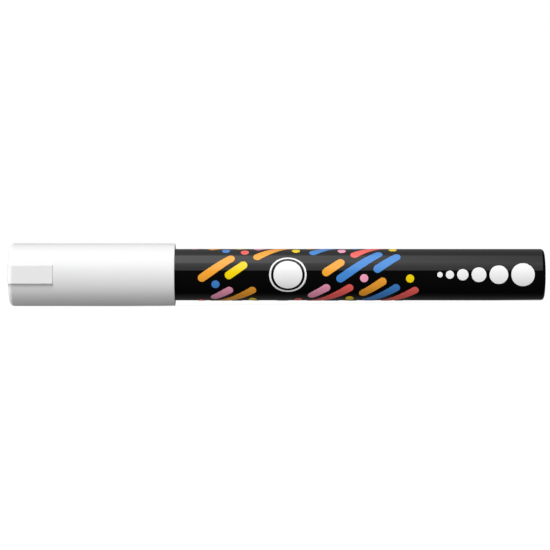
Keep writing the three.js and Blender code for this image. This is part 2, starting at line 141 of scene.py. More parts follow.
def surface_group():
    """Slow mottling and fine grain of a surface, from its own coordinates."""
    group = bpy.data.node_groups.new("worked_surface", "ShaderNodeTree")
    sockets = group.interface
    for label, kind in (
        ("Colour", "NodeSocketColor"),
        ("Second colour", "NodeSocketColor"),
        ("Patch scale", "NodeSocketFloat"),
        ("Grain scale", "NodeSocketFloat"),
        ("Smooth", "NodeSocketFloat"),
        ("Dull", "NodeSocketFloat"),
    ):
        sockets.new_socket(label, in_out="INPUT", socket_type=kind)
    sockets.new_socket("Colour", in_out="OUTPUT", socket_type="NodeSocketColor")
    sockets.new_socket("Roughness", in_out="OUTPUT", socket_type="NodeSocketFloat")
    sockets.new_socket("Height", in_out="OUTPUT", socket_type="NodeSocketFloat")
    nodes, links = group.nodes, group.links
    given = nodes.new("NodeGroupInput")
    out = nodes.new("NodeGroupOutput")
    place = nodes.new("ShaderNodeTexCoord")
    patches = nodes.new("ShaderNodeTexNoise")
    patches.inputs["Detail"].default_value = 3
    grain = nodes.new("ShaderNodeTexNoise")
    grain.inputs["Detail"].default_value = 5
    grain.inputs["Roughness"].default_value = 0.6
    for noise, scale in ((patches, "Patch scale"), (grain, "Grain scale")):
        links.new(place.outputs["Object"], noise.inputs["Vector"])
        links.new(given.outputs[scale], noise.inputs["Scale"])
    colour = nodes.new("ShaderNodeMix")
    colour.data_type = "RGBA"
    links.new(patches.outputs["Fac"], colour.inputs["Factor"])
    links.new(given.outputs["Colour"], colour.inputs["A"])
    links.new(given.outputs["Second colour"], colour.inputs["B"])
    shine = nodes.new("ShaderNodeMapRange")
    shine.inputs["From Min"].default_value = 0.3
    shine.inputs["From Max"].default_value = 0.7
    links.new(patches.outputs["Fac"], shine.inputs["Value"])
    links.new(given.outputs["Smooth"], shine.inputs["To Min"])
    links.new(given.outputs["Dull"], shine.inputs["To Max"])
    links.new(colour.outputs["Result"], out.inputs["Colour"])
    links.new(shine.outputs["Result"], out.inputs["Roughness"])
    links.new(grain.outputs["Fac"], out.inputs["Height"])
    return group


worked_surface = surface_group()


def surfaced(name, colour, second, patch, grain, smooth, dull, relief):
    """A material with its own shader, fed by the shared surface group."""
    material = bpy.data.materials.new(name)
    material.use_nodes = True
    nodes, links = material.node_tree.nodes, material.node_tree.links
    shader = nodes["Principled BSDF"]
    surface = nodes.new("ShaderNodeGroup")
    surface.node_tree = worked_surface
    surface.inputs["Colour"].default_value = (*colour, 1)
    surface.inputs["Second colour"].default_value = (*second, 1)
    surface.inputs["Patch scale"].default_value = patch
    surface.inputs["Grain scale"].default_value = grain
    surface.inputs["Smooth"].default_value = smooth
    surface.inputs["Dull"].default_value = dull
    bump = nodes.new("ShaderNodeBump")
    bump.inputs["Strength"].default_value = 1.0
    bump.inputs["Distance"].default_value = relief
    links.new(surface.outputs["Colour"], shader.inputs["Base Color"])
    links.new(surface.outputs["Roughness"], shader.inputs["Roughness"])
    links.new(surface.outputs["Height"], bump.inputs["Height"])
    links.new(bump.outputs["Normal"], shader.inputs["Normal"])
    return material


black_gloss = surfaced(
    "black_gloss_lacquer",
    colour=(0.0038, 0.0038, 0.0040),
    second=(0.0029, 0.0029, 0.0030),
    patch=60,
    grain=1800,
    smooth=0.035,
    dull=0.06,
    relief=0.0004 * MM,
)
barrel = finished(
    "barrel_moulding",
    turned(
        [
            (barrel_floor, 0),
            (barrel_floor, barrel_bore),
            (groove_x + groove_half, barrel_bore),
            (groove_x + groove_half / 2, barrel_bore + groove_depth),
            (groove_x - groove_half / 2, barrel_bore + groove_depth),
            (groove_x - groove_half, barrel_bore),
            (barrel_front, barrel_bore),
            (barrel_front, neck_radius),
            (ridge_x - snap_half, neck_radius),
            (ridge_x - snap_half / 2, ridge_radius),
            (ridge_x + snap_half / 2, ridge_radius),
            (ridge_x + snap_half, neck_radius),
            (neck_end - neck_step, neck_radius),
            (neck_end, barrel_radius),
            (barrel_rear, barrel_radius),
            (barrel_rear, gate_radius),
            (barrel_rear - gate_depth, gate_radius - gate_bevel),
            (barrel_rear - gate_depth, 0),
        ],
        rounds=[
            (barrel_floor, barrel_bore, barrel_floor_round),
            (barrel_front, barrel_bore, 2 * broken_edge),
            (barrel_front, neck_radius, 2 * broken_edge),
            (barrel_rear, barrel_radius, barrel_corner),
            (barrel_rear, gate_radius, broken_edge),
            (neck_end, barrel_radius, broken_edge),
        ],
        steps=192,
    ),
    black_gloss,
)
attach(barrel, "barrel")
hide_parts("barrel_tube")

# Printed decoration.
# Ink screen-printed round the barrel in flat opaque colours: slanted dashes with round ends, and
# dots between them, in ten lanes that wind round the barrel. A white disc in a ring is the swatch.
ink_proud = 0.03 * MM
ink_depth = 0.05 * MM
print_setback = 2.2 * MM
print_length = 62 * MM
print_start = cap_rim + print_setback
print_end = print_start + print_length
around = 2 * pi * barrel_radius
lane_count = 10
lane_slope = radians(35)
lane_stagger = 0.382
motif_shift = 3
colour_shift = 2
dash_width = 2.1 * MM
dot_width = 2.1 * MM
strip = 0.4 * MM
swatch_setback = 29.1 * MM
swatch_x = cap_rim + swatch_setback
swatch_width = 7.4 * MM
swatch_ring_width = 9.6 * MM
swatch_ring_line = 0.45 * MM
swatch_clearance = 0.9 * MM


def flat_disc(bm, x, s, width, length=0.0, slope=0.0, segments=40):
    """The corners of a disc on the unrolled barrel, or of a round-ended dash of some length."""
    made = bmesh.ops.create_circle(bm, cap_ends=True, radius=width / 2, segments=segments)
    for vert in made["verts"]:
        turn = atan2(vert.co.y, vert.co.x) + pi / segments
        px = width / 2 * cos(turn)
        px += length / 2 if cos(turn) > 0 else -length / 2
        py = width / 2 * sin(turn)
        vert.co.x = x + px * cos(slope) - py * sin(slope)
        vert.co.y = s + px * sin(slope) + py * cos(slope)
    return made["verts"]


def flat_ring(bm, x, s, width, line):
    verts = flat_disc(bm, x, s, width)
    faces = list({face for vert in verts for face in vert.link_faces})
    bmesh.ops.inset_region(bm, faces=faces, thickness=line, use_boundary=True, use_even_offset=True)
    bmesh.ops.delete(bm, geom=faces, context="FACES")


def wrapped(bm):
    """Cuts the unrolled print into strips, winds it onto the barrel and gives it thickness."""
    low = min(vert.co.y for vert in bm.verts)
    high = max(vert.co.y for vert in bm.verts)
    for i in range(int((high - low) / strip) + 1):
        everything = bm.verts[:] + bm.edges[:] + bm.faces[:]
        bmesh.ops.bisect_plane(
            bm, geom=everything, dist=1e-8, plane_co=(0, low + i * strip, 0), plane_no=(0, 1, 0)
        )
    for vert in bm.verts:
        turn = vert.co.y / barrel_radius
        r = barrel_radius + ink_proud
        vert.co = (vert.co.x, -r * cos(turn), r * sin(turn))
    bmesh.ops.recalc_face_normals(bm, faces=bm.faces)
    bmesh.ops.solidify(bm, geom=bm.faces[:], thickness=ink_depth)
    return bm


def in_swatch(x, s, reach):
    s = (s + around / 2) % around - around / 2
    return hypot(x - swatch_x, s) < swatch_ring_width / 2 + swatch_clearance + reach


def clear_of_swatch(x, s, length):
    for share in (-0.5, -0.25, 0.0, 0.25, 0.5):
        px = x + share * length * cos(lane_slope)
        ps = s + share * length * sin(lane_slope)
        if in_swatch(px, ps, dash_width / 2):
            return False
    return True


# One lane's run of motifs, as (length between the round ends, gap to the next motif)
lane_run = (
    (9.0 * MM, 4.4 * MM),
    (0.0, 4.2 * MM),
    (4.5 * MM, 4.4 * MM),
    (12.0 * MM, 4.6 * MM),
    (0.0, 4.2 * MM),
    (6.0 * MM, 4.4 * MM),
)
ink_colours = {
    "pink": (1.0, 0.385, 0.56),
    "blue": (0.062, 0.265, 0.70),
    "yellow": (1.0, 0.73, 0.003),
    "orange": (1.0, 0.41, 0.036),
    "coral": (1.0, 0.14, 0.12),
}
ink_thin_spots = 0.93
ink_meshes = {colour: bmesh.new() for colour in ink_colours}
colour_names = list(ink_colours)
lane_length = (print_end - print_start) / cos(lane_slope)
for lane in range(lane_count):
    run_length = sum(length + gap for length, gap in lane_run)
    along = -run_length * ((lane * lane_stagger) % 1)
    count = lane * motif_shift
    while along < lane_length:
        length, gap = lane_run[count % len(lane_run)]
        middle = along + length / 2
        x = print_start + middle * cos(lane_slope)
        s = lane * around / lane_count + middle * sin(lane_slope)
        reach = length / 2 * cos(lane_slope) + dash_width / 2
        inside = x - reach > print_start and x + reach < print_end
        if inside and clear_of_swatch(x, s, length):
            colour = colour_names[(count + colour_shift * lane) % len(colour_names)]
            width = dash_width if length else dot_width
            flat_disc(ink_meshes[colour], x, s, width, length, lane_slope)
        along += length + gap
        count += 1

for colour, bm in ink_meshes.items():
    shade = ink_colours[colour]
    ink = surfaced(
        "ink_" + colour,
        colour=shade,
        second=tuple(ink_thin_spots * part for part in shade),
        patch=400,
        grain=3000,
        smooth=0.12,
        dull=0.2,
        relief=0.0006 * MM,
    )
    printed = finished("print_" + colour, wrapped(bm), ink)
    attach(printed, "barrel")

# White print: the swatch, and a row of plain dots of growing size near the barrel's end.
white_ink = surfaced(
    "ink_white",
    colour=(0.95, 0.95, 0.95),
    second=(0.92, 0.92, 0.92),
    patch=400,
    grain=3000,
    smooth=0.12,
    dull=0.2,
    relief=0.0006 * MM,
)
gauge_setback = 67.4 * MM
gauge_length = 25.0 * MM
gauge_start = cap_rim + gauge_setback
gauge_widths = [1.4 * MM, 2.1 * MM, 2.9 * MM, 3.8 * MM, 4.8 * MM, 6.0 * MM]
gauge_gap = (gauge_length - sum(gauge_widths)) / (len(gauge_widths) - 1)
white_print = bmesh.new()
flat_disc(white_print, swatch_x, 0, swatch_width, segments=64)
flat_ring(white_print, swatch_x, 0, swatch_ring_width, swatch_ring_line)
gauge_x = gauge_start
for width in gauge_widths:
    flat_disc(white_print, gauge_x + width / 2, 0, width, segments=56)
    gauge_x += width + gauge_gap
white = finished("print_white", wrapped(white_print), white_ink)
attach(white, "barrel")

# Front section.
# Nose, seal land, collar and flange in one black moulding, with a plug pressed into the barrel. Its
# fluted bore holds the nib, and a pocket at its back holds the valve.
nose_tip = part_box("front_section")[0].x
plug_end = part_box("front_section")[1].x
nose_tip_radius = 3.2 * MM
land_radius = 4.6 * MM
flange_reach = 2.0 * MM
flange_gap = 0.05 * MM
flange_front = barrel_front - flange_reach
flange_rear = barrel_front - flange_gap
collar_length = 2.0 * MM
collar_step = 0.55 * MM
collar_front = flange_front - collar_length
collar_radius = neck_radius - collar_step
land_length = 8.0 * MM
land_front = collar_front - land_length
seal_bead_x = (land_front + collar_front) / 2
seal_bead_half = 0.55 * MM
seal_bead_height = 0.1 * MM
plug_gap = 0.3 * MM
plug_radius = barrel_bore - plug_gap
plug_rib_height = 0.18 * MM
plug_rib_half = 0.35 * MM
plug_rib_spacing = 2.2 * MM
pocket_wall = 0.95 * MM
pocket_setback = 2.5 * MM
pocket_radius = plug_radius - pocket_wall
pocket_front = barrel_front + pocket_setback
pocket_lead_in = 1.4 * MM
pocket_ridge_width = 0.6 * MM
pocket_ridge_height = 0.35 * MM
pocket_ridge_rear = plug_end - pocket_lead_in
pocket_ridge_front = pocket_ridge_rear - pocket_ridge_width
pocket_ridge_radius = pocket_radius - pocket_ridge_height
pocket_flare = 0.45 * MM
nib_bore = 2.15 * MM
chamber_depth = 0.75 * MM
chamber_length = 4.5 * MM
chamber_radius = nib_bore + chamber_depth
chamber_front = pocket_front - chamber_length
flute_start = nose_tip + 2.5 * MM
flute_end = chamber_front + 2.0 * MM
flute_width = 1.2 * MM
flute_count = 6
nose_tip_round = 0.4 * MM
land_round = 0.35 * MM
shoulder_round = 0.3 * MM


def block(low, high, turn=0.0):
    """A box between two corners, turned about the marker's axis."""
    bm = bmesh.new()
    made = bmesh.ops.create_cube(bm, size=1)
    size = [b - a for a, b in zip(low, high)]
    bmesh.ops.scale(bm, verts=made["verts"], vec=size)
    bmesh.ops.translate(bm, verts=made["verts"], vec=[(a + b) / 2 for a, b in zip(low, high)])
    spun = Matrix.Rotation(turn, 3, "X")
    bmesh.ops.rotate(bm, verts=made["verts"], cent=(0, 0, 0), matrix=spun)
    return bm


def combined(base, tools, operation):
    """The base's bmesh joined with, or cut by, each tool's bmesh."""
    objects = []
    for bm in [base, *tools]:
        mesh = bpy.data.meshes.new("shape")
        bm.to_mesh(mesh)
        bm.free()
        objects.append(bpy.data.objects.new("shape", mesh))
        scene.collection.objects.link(objects[-1])
    for tool in objects[1:]:
        step = objects[0].modifiers.new("step", "BOOLEAN")
        step.operation = operation
        step.solver = "EXACT"
        step.object = tool
    graph = bpy.context.evaluated_depsgraph_get()
    result = bmesh.new()
    result.from_mesh(objects[0].evaluated_get(graph).to_mesh())
    for obj in objects:
        bpy.data.objects.remove(obj)
    return result


nose_profile = [
    (nose_tip, nib_bore),
    (nose_tip, nose_tip_radius),
    (land_front, land_radius),
    (seal_bead_x - seal_bead_half, land_radius),
    (seal_bead_x - seal_bead_half / 2, land_radius + seal_bead_height),
    (seal_bead_x + seal_bead_half / 2, land_radius + seal_bead_height),
    (seal_bead_x + seal_bead_half, land_radius),
    (collar_front, land_radius),
    (collar_front, collar_radius),
    (flange_front, collar_radius),
    (flange_front, neck_radius),
    (flange_rear, neck_radius),
    (flange_rear, plug_radius),
]
for i in (2, 1, 0):
    rib_x = plug_end - (i + 0.5) * plug_rib_spacing
    nose_profile += [
        (rib_x - plug_rib_half, plug_radius),
        (rib_x - plug_rib_half / 2, plug_radius + plug_rib_height),
        (rib_x + plug_rib_half / 2, plug_radius + plug_rib_height),
        (rib_x + plug_rib_half, plug_radius),
    ]
nose_profile += [
    (plug_end, plug_radius),
    (plug_end, pocket_radius + pocket_flare),
    (pocket_ridge_rear, pocket_ridge_radius),
    (pocket_ridge_front, pocket_ridge_radius),
    (pocket_ridge_front, pocket_radius),
    (pocket_front, pocket_radius),
    (pocket_front, chamber_radius),
    (chamber_front, chamber_radius),
    (chamber_front, nib_bore),
]
flutes = [
    block(
        (flute_start, -flute_width / 2, nib_bore / 2),
        (flute_end, flute_width / 2, chamber_radius),
        turn=i * 2 * pi / flute_count,
    )
    for i in range(flute_count)
]
nose_body = turned(
    nose_profile,
    rounds=[
        (nose_tip, nib_bore, 2 * broken_edge),
        (nose_tip, nose_tip_radius, nose_tip_round),
        (land_front, land_radius, land_round),
        (collar_front, collar_radius, shoulder_round),
        (flange_front, neck_radius, shoulder_round),
        (flange_rear, neck_radius, broken_edge),
        (plug_end, plug_radius, broken_edge),
    ],
    closed=True,
)
black_satin = surfaced(
    "black_satin_moulding",
    colour=(0.010, 0.010, 0.0105),
    second=(0.007, 0.007, 0.0075),
    patch=150,
    grain=2500,
    smooth=0.25,
    dull=0.36,
    relief=0.002 * MM,
)
nose = finished("nose_moulding", combined(nose_body, flutes, "DIFFERENCE"), black_satin)
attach(nose, "barrel")
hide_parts("front_section")

# Valve seat.
# A ring of grey elastomer that lies on the pocket's shoulder, with a bevelled hole that the valve
# stem's cone closes.
seat_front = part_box("valve_seat")[0].x
seat_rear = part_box("valve_seat")[1].x
seat_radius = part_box("valve_seat")[1].z
seat_hole = 1.9 * MM
seat_bevel = 0.25 * MM
grey_rubber = surfaced(
    "grey_rubber",
    colour=(0.13, 0.13, 0.135),
    second=(0.10, 0.10, 0.105),
    patch=300,
    grain=4000,
    smooth=0.55,
    dull=0.7,
    relief=0.004 * MM,
)
seat = finished(
    "valve_seat_ring",
    turned(
        [
            (seat_front, seat_hole),
            (seat_front, seat_radius),
            (seat_rear, seat_radius),
            (seat_rear, seat_hole + seat_bevel),
            (seat_rear - seat_bevel, seat_hole),
        ],
        rounds=[
            (seat_front, seat_radius, broken_edge),
            (seat_rear, seat_radius, broken_edge),
            (seat_front, seat_hole, broken_edge),
        ],
        steps=96,
        closed=True,
    ),
    grey_rubber,
)
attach(seat, "barrel")
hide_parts("valve_seat")

# Valve housing.
# A natural acetal cup, snapped into the pocket behind the seat. Four windows let the paint in, and
# its floor carries the spring and guides the stem's tail.
housing_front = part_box("valve_housing")[0].x
housing_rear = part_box("valve_housing")[1].x
housing_flange_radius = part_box("valve_housing")[1].z
housing_flange_rear = housing_front + 1.4 * MM
housing_gap = 0.45 * MM
housing_wall = 0.75 * MM
housing_floor_thickness = 1.2 * MM
housing_radius = pocket_radius - housing_gap
housing_bore = housing_radius - housing_wall
housing_floor = housing_rear - housing_floor_thickness
housing_end_round = 0.6 * MM
guide_radius = 1.05 * MM
window_count = 4
window_width = 2.4 * MM
window_setback = 1.0 * MM
window_length = 8.0 * MM
window_front = plug_end + window_setback
window_rear = window_front + window_length


def flow_window(turn):
    """A slot-shaped cutter with round ends, standing out through the housing's wall."""
    bm = bmesh.new()
    bottom = flat_disc(
        bm,
        (window_front + window_rear) / 2,
        0,
        window_width,
        window_rear - window_front - window_width,
    )
    bmesh.ops.translate(bm, verts=bottom, vec=(0, 0, housing_bore / 2))
    raised = bmesh.ops.extrude_face_region(bm, geom=bm.faces[:])
    top = [part for part in raised["geom"] if isinstance(part, bmesh.types.BMVert)]
    bmesh.ops.translate(bm, verts=top, vec=(0, 0, housing_radius))
    bmesh.ops.recalc_face_normals(bm, faces=bm.faces)
    spun = Matrix.Rotation(turn, 3, "X")
    bmesh.ops.rotate(bm, verts=bm.verts, cent=(0, 0, 0), matrix=spun)
    return bm


windows = [flow_window((i + 0.5) * 2 * pi / window_count) for i in range(window_count)]
housing_body = turned(
    [
        (housing_front, housing_bore),
        (housing_front, housing_flange_radius),
        (housing_flange_rear, housing_flange_radius),
        (housing_flange_rear, housing_radius),
        (housing_rear, housing_radius),
        (housing_rear, guide_radius),
        (housing_floor, guide_radius),
        (housing_floor, housing_bore),
    ],
    rounds=[
        (housing_rear, housing_radius, housing_end_round),
        (housing_front, housing_flange_radius, broken_edge),
    ],
    steps=96,
    closed=True,
)
natural_resin = surfaced(
    "natural_resin",
    colour=(0.70, 0.68, 0.62),
    second=(0.64, 0.62, 0.55),
    patch=200,
    grain=2500,
    smooth=0.35,
    dull=0.5,
    relief=0.002 * MM,
)
housing = finished("valve_cage", combined(housing_body, windows, "DIFFERENCE"), natural_resin)
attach(housing, "barrel")
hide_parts("valve_housing")

# Valve stem.
# One acetal moulding: the pin that the nib pushes, a coned head that closes the seat, a spigot that
# centres the spring, and a long tail that slides in the housing's floor.
pin_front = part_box("valve_stem")[0].x
tail_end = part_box("valve_stem")[1].x
head_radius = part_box("valve_stem")[1].z
pin_radius = 1.2 * MM
tail_radius = 0.8 * MM
spigot_radius = 1.85 * MM
cone_length = 0.8 * MM
head_thickness = 0.8 * MM
spigot_length = 1.2 * MM
stem_end_round = 0.25 * MM
seat_gap = 0.1 * MM
cone_front = seat_rear + seat_gap
cone_front -= cone_length * (seat_hole + seat_bevel - pin_radius) / (head_radius - pin_radius)
head_front = cone_front + cone_length
head_rear = head_front + head_thickness
spigot_end = head_rear + spigot_length
stem = finished(
    "valve_plunger",
    turned(
        [
            (pin_front, 0),
            (pin_front, pin_radius),
            (cone_front, pin_radius),
            (head_front, head_radius),
            (head_rear, head_radius),
            (head_rear, spigot_radius),
            (spigot_end, spigot_radius),
            (spigot_end, tail_radius),
            (tail_end, tail_radius),
            (tail_end, 0),
        ],
        rounds=[
            (pin_front, pin_radius, stem_end_round),
            (head_rear, head_radius, broken_edge),
            (spigot_end, spigot_radius, broken_edge),
            (tail_end, tail_radius, stem_end_round),
        ],
        steps=72,
    ),
    natural_resin,
)
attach(stem, "stem")
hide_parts("valve_stem")

# Valve spring.
# Stainless wire wound in nine turns, closed at both ends, between the stem's head and the housing's
# floor. It shortens as the nib is pressed.
spring_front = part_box("valve_spring")[0].x
spring_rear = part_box("valve_spring")[1].x
wire_radius = 0.25 * MM
coil_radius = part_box("valve_spring")[1].z - wire_radius
turns = 9
closed_pitch = 1.0 * MM
open_pitch = (spring_rear - spring_front - 2 * wire_radius - 2 * closed_pitch) / (turns - 2)
steps_per_turn = 32
spring_wire = bmesh.new()
section = bmesh.ops.create_circle(spring_wire, cap_ends=True, radius=wire_radius, segments=12)
bmesh.ops.rotate(
    spring_wire, verts=section["verts"], cent=(0, 0, 0), matrix=Matrix.Rotation(pi / 2, 3, "X")
)
bmesh.ops.translate(
    spring_wire, verts=section["verts"], vec=(spring_front + wire_radius, 0, coil_radius)
)
leading = spring_wire.verts[:] + spring_wire.edges[:] + spring_wire.faces[:]
for pitch, turned_by in ((closed_pitch, 1), (open_pitch, turns - 2), (closed_pitch, 1)):
    wound = bmesh.ops.spin(
        spring_wire,
        geom=leading,
        cent=(0, 0, 0),
        axis=(1, 0, 0),
        dvec=(pitch / steps_per_turn, 0, 0),
        angle=2 * pi * turned_by,
        steps=steps_per_turn * turned_by,
    )
    leading = wound["geom_last"]
bmesh.ops.recalc_face_normals(spring_wire, faces=spring_wire.faces)
drawn_steel = surfaced(
    "drawn_steel",
    colour=(0.56, 0.57, 0.59),
    second=(0.48, 0.49, 0.51),
    patch=500,
    grain=6000,
    smooth=0.2,
    dull=0.3,
    relief=0.001 * MM,
)
drawn_steel.node_tree.nodes["Principled BSDF"].inputs["Metallic"].default_value = 1.0
spring = finished("return_spring", spring_wire, drawn_steel)
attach(spring, "barrel")
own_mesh(spring)
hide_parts("valve_spring")

# Nib.
# A rod of bonded polyester fibre, ground to a bullet at both ends, so that it can be turned round
# when one end is worn.
nib_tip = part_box("nib")[0].x
nib_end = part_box("nib")[1].x
nib_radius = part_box("nib")[1].z
bullet_length = 2.6 * MM
bullet_radius = 1.1 * MM
bullet_round = 0.75 * MM
bullet_shoulder_round = 0.9 * MM
white_fibre = surfaced(
    "white_fibre",
    colour=(0.86, 0.85, 0.81),
    second=(0.76, 0.75, 0.70),
    patch=900,
    grain=5000,
    smooth=0.8,
    dull=0.95,
    relief=0.02 * MM,
)
nib = finished(
    "bullet_nib",
    turned(
        [
            (nib_tip, 0),
            (nib_tip, bullet_radius),
            (nib_tip + bullet_length, nib_radius),
            (nib_end - bullet_length, nib_radius),
            (nib_end, bullet_radius),
            (nib_end, 0),
        ],
        rounds=[
            (nib_tip, bullet_radius, bullet_round),
            (nib_end, bullet_radius, bullet_round),
            (nib_tip + bullet_length, nib_radius, bullet_shoulder_round),
            (nib_end - bullet_length, nib_radius, bullet_shoulder_round),
        ],
        steps=72,
    ),
    white_fibre,
)
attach(nib, "nib")
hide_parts("nib")

# Mixing balls.
# Two bearing-grade steel balls that stir the paint when the marker is shaken. They lie on the
# bottom of the bore.
polished_steel = surfaced(
    "polished_steel",
    colour=(0.60, 0.61, 0.63),
    second=(0.55, 0.56, 0.58),
    patch=300,
    grain=5000,
    smooth=0.08,
    dull=0.16,
    relief=0.0004 * MM,
)
polished_steel.node_tree.nodes["Principled BSDF"].inputs["Metallic"].default_value = 1.0
for label, node, body in (
    ("rattle_ball_front", "mixing_ball_1", "ball_front"),
    ("rattle_ball_rear", "mixing_ball_2", "ball_rear"),
):
    low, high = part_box(node)
    sphere = bmesh.new()
    made = bmesh.ops.create_icosphere(sphere, subdivisions=5, radius=(high.z - low.z) / 2)
    bmesh.ops.translate(sphere, verts=made["verts"], vec=(low + high) / 2)
    ball = finished(label, sphere, polished_steel)
    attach(ball, body)
    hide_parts(node)

# Inner cap.
# A soft, milky polyethylene thimble pressed between the cap's ribs. Its mouth slides over the
# nose's seal land and keeps the nib from drying.
liner_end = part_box("inner_cap")[0].x
liner_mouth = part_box("inner_cap")[1].x
liner_flange_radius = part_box("inner_cap")[1].z
seal_gap = 0.15 * MM
nib_room = 1.6 * MM
liner_bore = land_radius + seal_gap
liner_wall = 0.8 * MM
liner_tip_bore = nib_radius + nib_room
liner_floor_thickness = 0.95 * MM
liner_floor = liner_end + liner_floor_thickness
taper_start = nose_tip + 1.5 * MM
taper_length = 4.5 * MM
taper_end = taper_start - taper_length
mouth_flange_rear = liner_mouth - 1.5 * MM
mouth_flange_front = mouth_flange_rear - 1.4 * MM
liner_lead_in = 0.4 * MM
liner_flange_round = 0.2 * MM
liner_lip_round = 0.12 * MM
taper_round = 0.5 * MM
milky_resin = surfaced(
    "milky_resin",
    colour=(0.80, 0.79, 0.75),
    second=(0.74, 0.73, 0.69),
    patch=180,
    grain=2200,
    smooth=0.4,
    dull=0.55,
    relief=0.003 * MM,
)
milky_shader = milky_resin.node_tree.nodes["Principled BSDF"]
milky_shader.inputs["Subsurface Weight"].default_value = 0.3
milky_shader.inputs["Subsurface Radius"].default_value = (0.6 * MM, 0.6 * MM, 0.5 * MM)
liner = finished(
    "cap_liner",
    turned(
        [
            (liner_end, 0),
            (liner_end, liner_flange_radius),
            (liner_floor, liner_flange_radius),
            (liner_floor, liner_tip_bore + liner_wall),
            (taper_end, liner_tip_bore + liner_wall),
            (taper_start, liner_bore + liner_wall),
            (mouth_flange_front, liner_bore + liner_wall),
            (mouth_flange_front, liner_flange_radius),
            (mouth_flange_rear, liner_flange_radius),
            (mouth_flange_rear, liner_bore + liner_wall),
            (liner_mouth, liner_bore + liner_wall),
            (liner_mouth, liner_bore + liner_lead_in),
            (liner_mouth - liner_lead_in, liner_bore),
            (taper_start, liner_bore),
            (taper_end, liner_tip_bore),
            (liner_floor, liner_tip_bore),
            (liner_floor, 0),
        ],
        rounds=[
            (liner_end, liner_flange_radius, liner_flange_round),
            (mouth_flange_rear, liner_flange_radius, liner_flange_round),
            (liner_mouth, liner_bore + liner_wall, liner_lip_round),
            (taper_start, liner_bore + liner_wall, taper_round),
            (taper_end, liner_tip_bore + liner_wall, taper_round),
        ],
        steps=120,
    ),
    milky_resin,
)
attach(liner, "cap")
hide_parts("inner_cap")

# Cap.
# A white polypropylene cup with a round closed end, a raised anti-roll tab with drafted sides, a
# snap bead just inside its mouth, and eight ribs inside that grip the inner cap.
cap_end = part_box("cap_shell")[0].x
cap_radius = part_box("cap_shell")[1].z
cap_wall = 1.25 * MM
cap_floor_thickness = 1.3 * MM
cap_bore = cap_radius - cap_wall
cap_floor = cap_end + cap_floor_thickness
cap_floor_round = 1.0 * MM
cap_corner = 1.15 * MM
cap_rim_round = 0.15 * MM
cap_mouth_round = 0.3 * MM
cap_bead_x = cap_rim - 3.2 * MM
cap_bead_height = 0.19 * MM
cap_bead_radius = cap_bore - cap_bead_height
rib_height = 0.65 * MM
rib_sink = 0.6 * MM
rib_tip = cap_bore - rib_height
rib_root = cap_bore + rib_sink
rib_half = 0.45 * MM
rib_count = 8
rib_front = liner_mouth + 1.0 * MM
rib_lead_in = 1.0 * MM
tab_face = -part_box("cap_shell")[0].y
tab_sink = 0.9 * MM
tab_root = cap_radius - tab_sink
tab_half = 2.3 * MM
tab_length = 11.5 * MM
tab_end = cap_end + tab_length
tab_draft = tan(radians(15))
tab_end_round = 1.2 * MM
tab_edge_round = 0.1 * MM

# A ring of corners just past the tab keeps the join with it out of the rest of the side.
split_x = tab_end + 0.8 * MM


def cap_rib(turn):
    """A bar from the cap's closed end, with a sloped lead-in at its front."""
    bm = block((cap_floor - rib_sink, -rib_half, rib_tip), (rib_front, rib_half, rib_root))
    for vert in bm.verts:
        if vert.co.x > rib_front - touching and vert.co.z < (rib_tip + rib_root) / 2:
            vert.co.x -= rib_lead_in
    spun = Matrix.Rotation(turn, 3, "X")
    bmesh.ops.rotate(bm, verts=bm.verts, cent=(0, 0, 0), matrix=spun)
    return bm


def anti_roll_tab():
    """A bar with its outer face drawn in by the mould's draft, and its end rounded over."""
    bm = block((cap_end, -tab_face, -tab_half), (tab_end, -tab_root, tab_half))
    spread = tab_draft * (tab_face - tab_root)
    for vert in bm.verts:
        if vert.co.y > -(tab_face + tab_root) / 2:
            vert.co.z += spread if vert.co.z > 0 else -spread
            if vert.co.x > cap_end + tab_end_round:
                vert.co.x += spread
    outer = [e for e in bm.edges if all(v.co.y < -tab_face + touching for v in e.verts)]
    far = [e for e in outer if all(v.co.x < cap_end + touching for v in e.verts)]
    bmesh.ops.bevel(
        bm,
        geom=far,
        offset=tab_end_round,
        offset_type="OFFSET",
        segments=6,
        profile=0.5,
        affect="EDGES",
        material=-1,
    )
    face_edges = [
        e
        for e in bm.edges
        if all(v.co.y < -tab_face + touching for v in e.verts)
        and any(f.normal.y > -0.99 for f in e.link_faces)
        and not all(v.co.x < cap_end + tab_end_round + 10 * touching for v in e.verts)
    ]
    bmesh.ops.bevel(
        bm,
        geom=face_edges,
        offset=tab_edge_round,
        offset_type="OFFSET",
        segments=2,
        profile=0.5,
        affect="EDGES",
        material=-1,
    )
    return bm


cap_body = turned(
    [
        (cap_end + gate_depth, 0),
        (cap_end + gate_depth, gate_radius - gate_bevel),
        (cap_end, gate_radius),
        (cap_end, cap_radius),
        (split_x, cap_radius),
        (cap_rim, cap_radius),
        (cap_rim, cap_bore),
        (cap_bead_x + snap_half, cap_bore),
        (cap_bead_x + snap_half / 2, cap_bead_radius),
        (cap_bead_x - snap_half / 2, cap_bead_radius),
        (cap_bead_x - snap_half, cap_bore),
        (cap_floor, cap_bore),
        (cap_floor, 0),
    ],
    rounds=[
        (cap_end, gate_radius, broken_edge),
        (cap_end, cap_radius, cap_corner),
        (cap_rim, cap_radius, cap_rim_round),
        (cap_rim, cap_bore, cap_mouth_round),
        (cap_floor, cap_bore, cap_floor_round),
    ],
    steps=192,
)
cap_ribs = [cap_rib((i + 0.5) * 2 * pi / rib_count) for i in range(rib_count)]
white_plastic = surfaced(
    "white_plastic",
    colour=(0.865, 0.865, 0.868),
    second=(0.85, 0.85, 0.852),
    patch=70,
    grain=1500,
    smooth=0.3,
    dull=0.4,
    relief=0.0015 * MM,
)
cap_shape = combined(cap_body, [*cap_ribs, anti_roll_tab()], "UNION")
